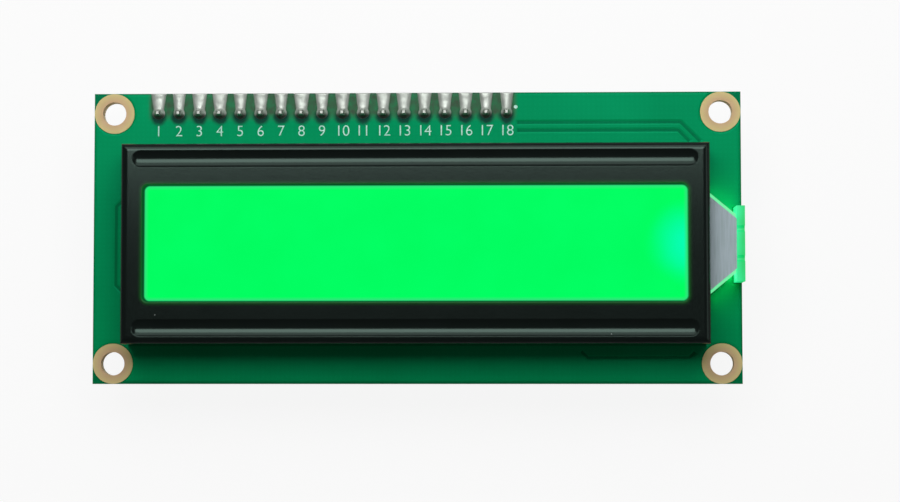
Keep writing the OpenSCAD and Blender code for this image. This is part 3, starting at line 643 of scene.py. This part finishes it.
# One joint, as rows of points from the board's edge to the joint's inner end
bm = bmesh.new()
grid = []
for row in range(JOINT_ROWS + 1):
    share = row / JOINT_ROWS
    y = pad_reach - (pad_reach + JOINT_EYE_D / 2) * (1 - math.cos(share * math.pi)) / 2
    eye = math.sqrt(max(0.0, (JOINT_EYE_D / 2) ** 2 - y * y))
    neck = (JOINT_NECK_W + (JOINT_EDGE_W - JOINT_NECK_W) * y / pad_reach) / 2 if y > 0 else 0
    half = max(eye, neck)
    rounding = math.sqrt(max(0.0, 1 - (1 - min(1.0, (pad_reach - y) / JOINT_ROUND)) ** 2))
    line = []
    for column in range(JOINT_COLUMNS + 1):
        x = half * math.sin((column / JOINT_COLUMNS - 0.5) * math.pi)
        crown = JOINT_H * rounding * math.sqrt(max(0.0, 1 - (x / half) ** 2)) if half > 1e-6 else 0.0
        gap = math.hypot(x, y)
        fillet = JOINT_CLIMB * math.exp(-max(0.0, gap - JOINT_PIN_R) / JOINT_HOLLOW)
        fillet *= max(0.0, 1 - (2 * gap / JOINT_EYE_D) ** 4)
        z = (crown ** 3 * min(1.0, max(0.0, y + JOINT_SINK)) + fillet ** 3) ** (1 / 3)
        line.append(bm.verts.new((x * MM, y * MM, max(z, 0.0) * MM)))
    grid.append(line)
for upper, lower in zip(grid, grid[1:]):
    for i in range(JOINT_COLUMNS):
        bm.faces.new((upper[i], upper[i + 1], lower[i + 1], lower[i]))
bmesh.ops.remove_doubles(bm, verts=bm.verts, dist=0.001 * MM)
bmesh.ops.holes_fill(bm, edges=[e for e in bm.edges if e.is_boundary], sides=0)
joint_shape = placed("joint", mesh_of(bm, "joint"))

row, given = new_tree("row_of_joints", "Joints", Start="Geometry", Joint="Object", Count="Int",
    Pitch="Float", Solder="Material")
step = add(row, "CombineXYZ", {"X": given["Pitch"]})
places = add(row, "GeometryNodeMeshLine", {"Count": given["Count"], "Offset": step})
shape = add(row, "GeometryNodeObjectInfo", {"Object": given["Joint"]}).outputs["Geometry"]
shape = add(row, "GeometryNodeSetShadeSmooth", {"Geometry": shape})
size = add(row, "FunctionNodeRandomValue", {"Min": (0.88, 1.0, 0.84), "Max": (1.06, 1.0, 1.0),
    "Seed": 4}, data_type="FLOAT_VECTOR")
joints = add(row, "GeometryNodeInstanceOnPoints", {"Points": places, "Instance": shape, "Scale": size})
joints = add(row, "GeometryNodeRealizeInstances", {"Geometry": joints})
wobble = add(row, "TexNoise", {"Scale": 1 / (JOINT_WOBBLE * MM), "Detail": 1.0})
wobble = add(row, "VectorMath", {0: wobble.outputs["Color"], 1: (0.5, 0.5, 0.5)}, operation="SUBTRACT")
wobble = add(row, "VectorMath", {0: wobble, 1: Vector(JOINT_WANDER) * MM}, operation="MULTIPLY")
raised = add(row, "SeparateXYZ", {"Vector": add(row, "GeometryNodeInputPosition")})
raised = add(row, "Math", {0: raised.outputs["Z"], 1: WOBBLE_FROM * MM}, operation="GREATER_THAN")
joints = add(row, "GeometryNodeSetPosition", {"Geometry": joints, "Selection": raised,
    "Offset": wobble})
end_tree(row, joints, given["Solder"])
mesh = grown("header_joints", [(0, 0, 0)], [], row, Joint=joint_shape, Count=len(pins),
    Pitch=PIN_PITCH * MM, Solder=solder)
mesh.transform(Matrix.Translation(Vector((first_pin.x, first_pin.y, board_high.z)) * MM))
bpy.data.objects.remove(joint_shape)
header_joints = finish_piece("header_joints", mesh)
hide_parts("header_solder")


# ---- Bezel ----
# Sheet steel, pierced, pressed with two long beads and folded down on four sides, then finished in
# satin black stoving paint. Its tabs pass through the board and are twisted to hold it.
WINDOW_L, WINDOW_W, WINDOW_R = 66.0, 14.3, 0.8
LIP_R = 0.15             # the paint rounds off every edge of the sheet
PAINTED_GLOW_W, PAINTED_GLOW = 0.7, 0.08    # width and strength of a painted green glow along the window's edge, standing in for the display's light
PAINT_FLOW, PAINT_PEEL = 3.5, 0.22    # breadth of the paint's soft waves and of its fine ones
SPECK_PITCH, SPECK_SIZE, SPECK_RARITY = 2.4, 0.035, 0.86    # size as a share of the pitch


def past_window(tree, place, shift, length, width, radius):
    """How far a place lies past a rounded rectangle that stands a shift off the window's middle."""
    middle = (shift * MM, middle_y * MM, 0.0)
    inner = Vector((length / 2 - radius, width / 2 - radius, box_mm("bezel")[1].z)) * MM
    past = add(tree, "VectorMath", {0: place, 1: middle}, operation="SUBTRACT")
    past = add(tree, "VectorMath", {0: past}, operation="ABSOLUTE")
    past = add(tree, "VectorMath", {0: past, 1: inner}, operation="SUBTRACT")
    past = add(tree, "VectorMath", {0: past, 1: (0.0, 0.0, 0.0)}, operation="MAXIMUM")
    past = add(tree, "VectorMath", {0: past}, operation="LENGTH").outputs["Value"]
    return add(tree, "Math", {0: past, 1: radius * MM}, operation="SUBTRACT")


# Stoved paint: near black and fairly smooth, with a soft flow, a faint peel and a few specks of
# dust. A painted green glow along the window's edge stands in for the display's light on it.
bezel_paint, tree, place = new_material("black_stoved_paint_on_steel")
flow = add(tree, "TexNoise", {"Vector": place, "Scale": 1 / (PAINT_FLOW * MM), "Detail": 3.0})
peel = add(tree, "TexNoise", {"Vector": place, "Scale": 1 / (PAINT_PEEL * MM), "Detail": 2.0})
black = add(tree, "Mix", {"Factor": flow, "A": "0A0E0D", "B": "121716"}, data_type="RGBA")
specks = add(tree, "TexVoronoi", {"Vector": place, "Scale": 1 / (SPECK_PITCH * MM)})
dust = add(tree, "Math", {0: specks.outputs["Distance"], 1: SPECK_SIZE}, operation="LESS_THAN")
chance = add(tree, "SeparateColor", {"Color": specks.outputs["Color"]})
chance = add(tree, "Math", {0: chance.outputs["Red"], 1: SPECK_RARITY}, operation="GREATER_THAN")
dust = add(tree, "Math", {0: dust, 1: chance}, operation="MULTIPLY")
tint = add(tree, "Mix", {"Factor": dust, "A": black, "B": "6F7673"}, data_type="RGBA")
rough = add(tree, "MapRange", {"Value": peel, "From Min": 0.3, "From Max": 0.7, "To Min": 0.16,
    "To Max": 0.2})
height = add(tree, "Math", {0: flow, 1: 2.0, 2: peel}, operation="MULTIPLY_ADD")
bump = add(tree, "Bump", {"Height": height, "Strength": 0.1, "Distance": 0.02 * MM,
    "Normal": add(tree, "Bevel", {"Radius": LIP_R * MM})})
# painted glow: the paint glows green near the window's edge
painted_glow = past_window(tree, place, 0.0, WINDOW_L, WINDOW_W, WINDOW_R)
painted_glow = add(tree, "MapRange", {"Value": painted_glow, "From Min": 0.0, "From Max": PAINTED_GLOW_W * MM, "To Min": 1.0,
    "To Max": 0.0})
painted_glow = add(tree, "Math", {0: painted_glow, 1: 3.0}, operation="POWER")
painted_glow = add(tree, "Math", {0: painted_glow, 1: PAINTED_GLOW}, operation="MULTIPLY")
coat(bezel_paint, {"Base Color": tint, "Roughness": rough, "IOR": 1.5, "Specular Tint": "CCF4E4",
    "Normal": bump, "Emission Color": "00FF38", "Emission Strength": painted_glow}, "bezel")


# ---- Display ----
# Two glasses with the liquid crystal between them, and a polarizing film on each outer face. Lit
# from behind, the front film glows evenly, paler along the window's edge, and the light turns
# towards cyan beside the inlet, where the lamp's blue die shines straight in.
LIT_SHIFT = 0.1          # the lit area stands this far off the window's middle
LIT_L, LIT_W, LIT_R = WINDOW_L - 2 * LIT_SHIFT, 14.04, 0.7
PALE_EDGE = 0.1, 0.6     # the pale border fades out between these distances inside the lit area
DUSK = -0.16, 0.05       # and the light itself between these, at the window's very edge
BEAM_X, BEAM_L, BEAM_W = 33.2, 5.4, 5.6    # where the inlet's light comes in, and its reach
HAZE = 5                 # breadth of the clouds in the light

# Polarizing film: dark and smooth by itself, here a light of its own, a little hazy
lit_film, tree, place = new_material("polarizing_film_lit_from_behind")
past_lit = past_window(tree, place, LIT_SHIFT, LIT_L, LIT_W, LIT_R)
border = add(tree, "MapRange", {"Value": past_lit, "From Min": -PALE_EDGE[1] * MM,
    "From Max": -PALE_EDGE[0] * MM}, interpolation_type="SMOOTHSTEP")
beam = add(tree, "Mapping", {"Vector": place, "Location": (BEAM_X * MM, middle_y * MM, 0.0),
    "Scale": (BEAM_L * MM, BEAM_W * MM, 1.0)}, vector_type="TEXTURE")
reach = add(tree, "VectorMath", {0: beam}, operation="LENGTH").outputs["Value"]
haze = add(tree, "TexNoise", {"Vector": place, "Scale": 1 / (HAZE * MM), "Detail": 2.0})
reach = add(tree, "Math", {0: haze, 1: 0.25, 2: reach}, operation="MULTIPLY_ADD")
cool = add(tree, "MapRange", {"Value": reach, "From Min": 0.2, "From Max": 1.15, "To Min": 1.0,
    "To Max": 0.0}, interpolation_type="SMOOTHSTEP")
green = add(tree, "Mix", {"Factor": haze, "A": "00FA5C", "B": "00FF64"}, data_type="RGBA")
glow = add(tree, "Mix", {"Factor": cool, "A": green, "B": "06FCB4"}, data_type="RGBA")
pale = add(tree, "Mix", {"Factor": border, "A": glow, "B": "2CE47A"}, data_type="RGBA")
dusk = add(tree, "MapRange", {"Value": past_lit, "From Min": DUSK[1] * MM, "From Max": DUSK[0] * MM,
    "To Min": 0.09}, interpolation_type="SMOOTHSTEP")
rough = add(tree, "MapRange", {"Value": haze, "To Min": 0.1, "To Max": 0.16})
coat(lit_film, {"Base Color": "03140A", "Roughness": rough, "IOR": 1.49, "Specular Tint": "40FF90",
    "Emission Color": pale, "Emission Strength": dusk}, "front_polarizer")

# The same film behind the glass: smooth and green, with the streaks of its stretching, coarser than
# real so that they show
grained("polarizing_film_behind_the_glass", 0.4, ("1D5A38", "266B45"), 0.18, {"IOR": 1.49},
    "rear_polarizer", stretch=(1.0, 0.05, 1.0))

# Float glass: clear and polished, faintly green, and all but flat
grained("soda_lime_display_glass", 6, ("D6EADF", "E6F4EC"), 0.03,
    {"IOR": 1.52, "Transmission Weight": 1.0}, "front_glass", "rear_glass", detail=1.0,
    relief=(0.05, 0.01))

# Silicone rubber in thin layers, carbon-black and clear by turns: dull, and striped across
RUBBER_LAYER = 0.18
rubber, tree, place = new_material("conductive_silicone_rubber")
layers = add(tree, "TexWave", {"Vector": place, "Scale": math.pi / 10 / (RUBBER_LAYER * MM)},
    bands_direction="X")
zebra = add(tree, "Mix", {"Factor": layers.outputs["Fac"], "A": "151515", "B": "B9BBB4"},
    data_type="RGBA")
coat(rubber, {"Base Color": zebra, "Roughness": 0.75, "IOR": 1.43}, "contact_strip_upper",
    "contact_strip_lower")


# ---- Backlight ----
# A clear moulded acrylic plate in a white tray, between a mirror film and a white diffuser. It takes
# the lamp's light in through a tongue, and shines brightest where the tape leaves its edges bare.
TONGUE_LIT = 34.0, 38.0  # along the tongue, the light grows between these places
LEAK = 1.1, 2.2          # its edges leak most below the first of these heights, least above the other
LEAK_STRENGTH, TOP_STRENGTH = 6.5, 0.85
SWIRL = 0.8              # breadth of the swirls of light in it

# Acrylic: clear and polished, seen as the light that swirls in it
acrylic, tree, place = new_material("clear_acrylic_carrying_light")
axes = add(tree, "SeparateXYZ", {"Vector": place})
outside = add(tree, "MapRange", {"Value": axes.outputs["X"], "From Min": TONGUE_LIT[0] * MM,
    "From Max": TONGUE_LIT[1] * MM})
swirl = add(tree, "TexNoise", {"Vector": place, "Scale": 1 / (SWIRL * MM), "Detail": 2.0})
light = add(tree, "Math", {0: swirl, 1: 0.5, 2: outside}, operation="MULTIPLY_ADD")
light = add(tree, "MapRange", {"Value": light, "From Min": 0.2, "From Max": 1.3})
glow = add(tree, "Mix", {"Factor": light, "A": "62F59C", "B": "84FFB4"}, data_type="RGBA")
facing = add(tree, "SeparateXYZ", {"Vector": add(tree, "NewGeometry").outputs["Normal"]})
leak = add(tree, "MapRange", {"Value": axes.outputs["Z"], "From Min": LEAK[0] * MM,
    "From Max": LEAK[1] * MM, "To Min": LEAK_STRENGTH, "To Max": 1.0}, interpolation_type="SMOOTHSTEP")
upwards = add(tree, "MapRange", {"Value": facing.outputs["Z"], "From Min": 0.4, "From Max": 0.6})
strength = add(tree, "Mix", {"Factor": upwards, "A": leak, "B": TOP_STRENGTH})
coat(acrylic, {"Base Color": "1B4B33", "Roughness": 0.12, "IOR": 1.49, "Emission Color": glow,
    "Emission Strength": strength}, "light_guide")

# White polycarbonate: bright and even, half matt
grained("white_polycarbonate_moulding", 4, ("DFE3DC", "EEF1EA"), (0.35, 0.5), {"IOR": 1.58},
    "backlight_tray", "diffuser_film", detail=3.0)

# Silvered film: a mirror with shallow creases
grained("silvered_polyester_film", 3, ("C9CCCC", "E6E8E8"), 0.15, {"Metallic": 1.0}, "reflector_film",
    relief=(0.3, 0.05))

# Grey woven-backed tape over the tongue: dull, with fine lines along its length
grained("grey_light_tight_tape", 0.22, ("9DAFB3", "B1C0C8"), 0.55, {"IOR": 1.45}, "light_tape",
    detail=3.0, stretch=(1.0, 0.06, 1.0), contrast=(0.3, 0.7), relief=(0.3, 0.02))


# ---- Lamp board ----
# A sliver of white-masked laminate soldered upright at the end, with the three-colour lamp on its
# inner face. With the green die lit, the lamp and its thin board glow right through.
LAMP_SHADE = 0.8         # the glow falls off over this distance from the lamp's side
LAMP_GLOW = 2.6          # breadth of the brighter patches in it
# Thin laminate with light inside it: an even green, paler in patches and towards the lamp
lamp_green, tree, place = new_material("white_laminate_glowing_green")
hot = add(tree, "TexNoise", {"Vector": place, "Scale": 1 / (LAMP_GLOW * MM), "Detail": 1.0})
axes = add(tree, "SeparateXYZ", {"Vector": place})
inner = add(tree, "MapRange", {"Value": axes.outputs["X"], "From Min": lamp_board_low.x * MM,
    "From Max": (lamp_board_low.x + LAMP_SHADE) * MM, "To Min": 0.4, "To Max": -0.35})
hot = add(tree, "Math", {0: hot, 1: inner}, operation="ADD")
glow = add(tree, "Mix", {"Factor": hot, "A": "04CC62", "B": "28EC98"}, data_type="RGBA")
strength = add(tree, "MapRange", {"Value": hot, "To Min": 0.85, "To Max": 0.95})
coat(lamp_green, {"Base Color": "0E5A34", "Roughness": 0.5, "IOR": 1.5, "Emission Color": glow,
    "Emission Strength": strength}, "lamp_board")

# Clear epoxy round the dies: bright, and whitest where a die shines through
grained("lit_lamp_resin", 1.2, ("40FF9A", "A8FFD2"), 0.3,
    {"Base Color": "C8D8C8", "IOR": 1.54, "Emission Strength": 3.0}, "lamp", detail=1.0,
    tints="Emission Color")

# Tinned copper wire: bright, with drawn streaks
grained("tinned_copper_wire", 0.15, ("C2C2BE", "DEDEDA"), (0.22, 0.4), {"Metallic": 1.0},
    *(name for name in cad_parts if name.startswith("lamp_pin_")))


# ---- Driver domes ----
# Black epoxy poured over each bare driver chip and left to cure as a smooth low dome, glossy, with
# a slight orange-peel skin.
grained("black_potting_epoxy", 1.6, ("090909", "161615"), (0.16, 0.34), {"IOR": 1.56},
    "driver_dome_left", "driver_dome_right", detail=3.0, relief=(0.35, 0.06))


# ---- Chip resistors and capacitors ----
# Ceramic blocks with tinned caps, each cap wetted to its pad by a hollow fillet of solder. The
# resistors are coated in black glass, and the capacitors are bare tan ceramic.
CAP_L = 0.399            # a hair short of the cap's step, so that the step's face has one colour
FILLET_H = 0.3
FILLET_L = 0.32
FILLET_FLARE = 0.08
FILLET_UNDER = 0.05      # how far a fillet runs on under its chip
FILLET_STEPS = 6
CERAMIC_GRAIN = 0.15     # far coarser than the real grain, so that it shows
resistors, capacitors = (sorted(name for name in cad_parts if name.startswith(kind))
    for kind in ("resistor_", "capacitor_"))
chip_low, chip_high = box_mm(resistors[0])
chip_w, chip_l = chip_high.x - chip_low.x, chip_high.y - chip_low.y


def chip_finish(name, row_y, dark, light, gloss, chips):
    """Finish of a row of chips: ceramic between two tinned caps."""
    material, tree, place = new_material(name)
    axes = add(tree, "SeparateXYZ", {"Vector": place})
    along = add(tree, "Math", {0: axes.outputs["Y"], 1: row_y * MM}, operation="SUBTRACT")
    along = add(tree, "Math", {0: along}, operation="ABSOLUTE")
    cap = add(tree, "Math", {0: along, 1: (chip_l / 2 - CAP_L) * MM}, operation="GREATER_THAN")
    grain = add(tree, "TexNoise", {"Vector": place, "Scale": 1 / (CERAMIC_GRAIN * MM), "Detail": 3.0})
    ceramic = add(tree, "Mix", {"Factor": grain, "A": dark, "B": light}, data_type="RGBA")
    tin = add(tree, "Mix", {"Factor": grain, "A": "BDBDB9", "B": "DCDCD8"}, data_type="RGBA")
    tint = add(tree, "Mix", {"Factor": cap, "A": ceramic, "B": tin}, data_type="RGBA")
    rough = add(tree, "MapRange", {"Value": grain, "To Min": gloss, "To Max": gloss + 0.2})
    bump = add(tree, "Bump", {"Height": grain, "Strength": 0.3, "Distance": 0.01 * MM})
    coat(material, {"Base Color": tint, "Metallic": cap, "Roughness": rough, "Normal": bump}, *chips)


# Black glass glaze is glossy, bare ceramic dull and tan, and the caps bright tin
chip_finish("black_glazed_chip", (chip_low.y + chip_high.y) / 2, "0C0C0D", "1B1B1C", 0.2, resistors)
chip_finish("tan_ceramic_chip", middle_y, "8E6E4C", "A98A63", 0.45, capacitors)

# The two fillets of one chip, each a hollow quarter round that flares towards its pad
bm = bmesh.new()
for end in (-1, 1):
    rows = []
    for i in range(FILLET_STEPS + 1):
        turn = i / FILLET_STEPS * math.pi / 2
        y = end * (chip_l / 2 + FILLET_L * (1 - math.sin(turn)))
        z = -FILLET_H * (1 - math.cos(turn))
        half = chip_w / 2 + FILLET_FLARE * (1 - math.sin(turn))
        rows.append([bm.verts.new((x * MM, y * MM, z * MM)) for x in (-half, 0.0, half)])
    under = end * (chip_l / 2 - FILLET_UNDER)
    rows.append([bm.verts.new((x * MM, under * MM, 0.0)) for x in (-chip_w / 2, 0.0, chip_w / 2)])
    for upper, lower in zip(rows, rows[1:]):
        for i in range(2):
            bm.faces.new((upper[i], upper[i + 1], lower[i + 1], lower[i]))
bmesh.ops.holes_fill(bm, edges=[e for e in bm.edges if e.is_boundary], sides=0)
fillet_shape = placed("fillets", mesh_of(bm, "fillets"))

seat, given = new_tree("chip_fillets", "Seats", Chips="Geometry", Fillets="Object", Solder="Material")
shape = add(seat, "GeometryNodeObjectInfo", {"Object": given["Fillets"]}).outputs["Geometry"]
shape = add(seat, "GeometryNodeSetShadeSmooth", {"Geometry": shape})
size = add(seat, "FunctionNodeRandomValue", {"Min": (0.96, 0.98, 0.8), "Max": (1.04, 1.02, 1.15),
    "Seed": 9}, data_type="FLOAT_VECTOR")
seats = add(seat, "GeometryNodeInstanceOnPoints", {"Points": given["Chips"], "Instance": shape,
    "Scale": size})
end_tree(seat, seats, given["Solder"])
centres = [centre_mm(name) for name in capacitors + resistors]
mesh = grown("chip_joints", [(c.x, c.y, back_z) for c in centres], [], seat, Fillets=fillet_shape,
    Solder=solder)
bpy.data.objects.remove(fillet_shape)
finish_piece("chip_joints", mesh)


# ---- Studio ----
# A sheet of pale paper under the module. One broad soft lamp hangs above the header's edge, one
# stands lower behind it, and a faint one at the right draws the bezel's fold. All else is dim.
PAPER_R = 0.4
PAPER_GAP = 0.0004
PAPER_GREY, MIRRORED_GREY = 0.86, 0.25
SELF_LIT = 0.9           # share of the paper that shows as plain white; the rest keeps the shadow
SURROUND = 0.09
VIEW_SHIFT, VIEW_HEIGHT, VIEW_TILT = (-0.55, -0.4), 300.0, (-3.52, -1.96)

bm = bmesh.new()
bmesh.ops.create_circle(bm, cap_ends=True, segments=96, radius=PAPER_R,
    matrix=Matrix.Translation((0, 0, cad_box[0].z - PAPER_GAP)))
sheet = bpy.data.meshes.new("paper_sheet")
bm.to_mesh(sheet)
bm.free()
paper_sheet = placed("paper_sheet", sheet)

# Matt paper: plain white to the eye with a faint shadow, and only grey to what mirrors it
paper, tree, place = new_material("white_backdrop_paper")
path = add(tree, "LightPath")
grey = add(tree, "MapRange", {"Value": path.outputs["Is Glossy Ray"], "To Min": PAPER_GREY,
    "To Max": MIRRORED_GREY})
diffuse = add(tree, "BsdfDiffuse", {"Color": grey})
lit = add(tree, "Emission", {"Color": "FFFFFF", "Strength": 1.0})
seen = add(tree, "Math", {0: path.outputs["Is Camera Ray"], 1: path.outputs["Is Transmission Ray"]},
    operation="MAXIMUM")
share = add(tree, "Math", {0: seen, 1: SELF_LIT}, operation="MULTIPLY")
mixed = add(tree, "MixShader", {0: share, 1: diffuse, 2: lit})
add(tree, "OutputMaterial", {"Surface": mixed})
sheet.materials.append(paper)


def lamp_at(name, place, size, watts):
    """A soft rectangular lamp that looks at the module."""
    lamp = bpy.data.lights.new(name, "AREA")
    lamp.shape = "RECTANGLE"
    lamp.size, lamp.size_y = size
    lamp.energy = watts
    holder = placed(name, lamp)
    holder.location = place
    holder.rotation_euler = (-Vector(place)).to_track_quat("-Z", "Y").to_euler()


lamp_at("softbox_above", (-0.002, 0.088, 0.188), (0.2, 0.12), 0.31)
lamp_at("softbox_back", (-0.02, 0.21, 0.135), (0.3, 0.13), 0.16)
lamp_at("softbox_right", (0.3, 0.0, 0.1), (0.12, 0.12), 0.03)

world = bpy.data.worlds.new("studio")
world.use_nodes = True
bpy.context.scene.world = world
world.node_tree.nodes.clear()
path = add(world.node_tree, "LightPath")
white = add(world.node_tree, "MapRange", {"Value": path.outputs["Is Camera Ray"], "To Min": SURROUND,
    "To Max": 1.0})
fill = add(world.node_tree, "Background", {"Color": "FFFFFF", "Strength": white})
add(world.node_tree, "OutputWorld", {"Surface": fill})

camera_data = bpy.data.cameras.new("camera")
camera_data.lens = 97.24
camera_data.sensor_width = 36.0
camera_data.shift_x = 0.0326
camera_data.shift_y = -0.0182
camera_data.clip_start, camera_data.clip_end = 0.01, 10.0
camera = placed("camera", camera_data)
bpy.context.scene.camera = camera
look = (Matrix.Translation(Vector((*VIEW_SHIFT, -VIEW_HEIGHT)) * MM)
        @ Matrix.Rotation(math.radians(VIEW_TILT[0]), 4, "X")
        @ Matrix.Rotation(math.radians(VIEW_TILT[1]), 4, "Y"))
camera.matrix_world = look.inverted()
bpy.context.scene.view_settings.view_transform = "Standard"
